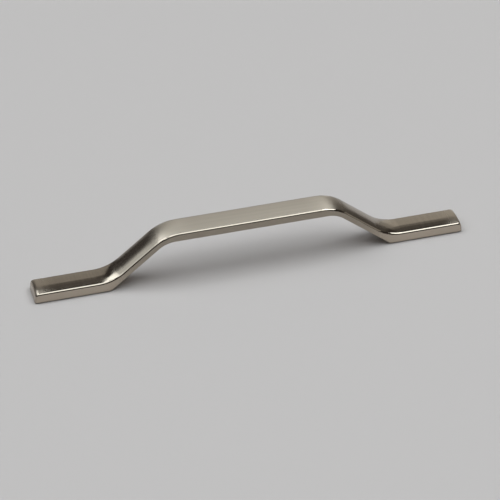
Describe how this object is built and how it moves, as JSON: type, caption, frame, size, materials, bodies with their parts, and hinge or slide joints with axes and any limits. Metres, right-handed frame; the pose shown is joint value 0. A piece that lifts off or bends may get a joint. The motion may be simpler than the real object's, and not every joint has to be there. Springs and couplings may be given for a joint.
{
  "type": "bar pull",
  "caption": "Bowed bar pull cast in one piece: flat outturned feet, sloping legs and a straight grip with a crowned top, screwed to a door or drawer front from behind.",
  "frame": {"origin": "on the base plane that both feet stand on, midway between the screw holes", "axes": "+X along the pull, +Y across its width, +Z from the base plane out to the grip"},
  "size_m": [0.1942, 0.0122, 0.0247],
  "materials": {
    "nickel": "brushed satin nickel plating on a zinc casting, warm grey, grain along the length"
  },
  "bodies": {
    "root": {"pull_body": "nickel"}
  },
  "joints": []
}
